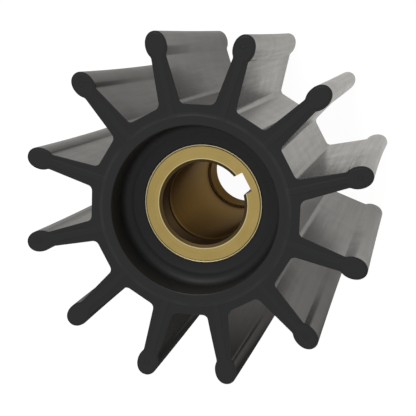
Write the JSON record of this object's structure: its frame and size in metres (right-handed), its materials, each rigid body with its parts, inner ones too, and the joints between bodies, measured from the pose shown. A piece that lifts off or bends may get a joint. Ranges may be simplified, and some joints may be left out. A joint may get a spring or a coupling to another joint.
{
  "type": "flexible pump impeller",
  "caption": "Moulded rubber pump impeller with straight radial blades, beaded blade tips and a front recess round a keyed brass hub insert.",
  "frame": {"origin": "on the shaft axis, at the centre of the flat back end it stands on", "axes": "+Z along the shaft towards the recessed front end, +X along the first blade"},
  "size_m": [0.066, 0.066, 0.0571],
  "materials": {
    "black_rubber": "smooth moulded rubber with a faint satin sheen",
    "turned_brass": "fine-turned, unpolished"
  },
  "bodies": {
    "root": {"impeller_body": "black_rubber", "hub_insert": "turned_brass"}
  },
  "joints": []
}
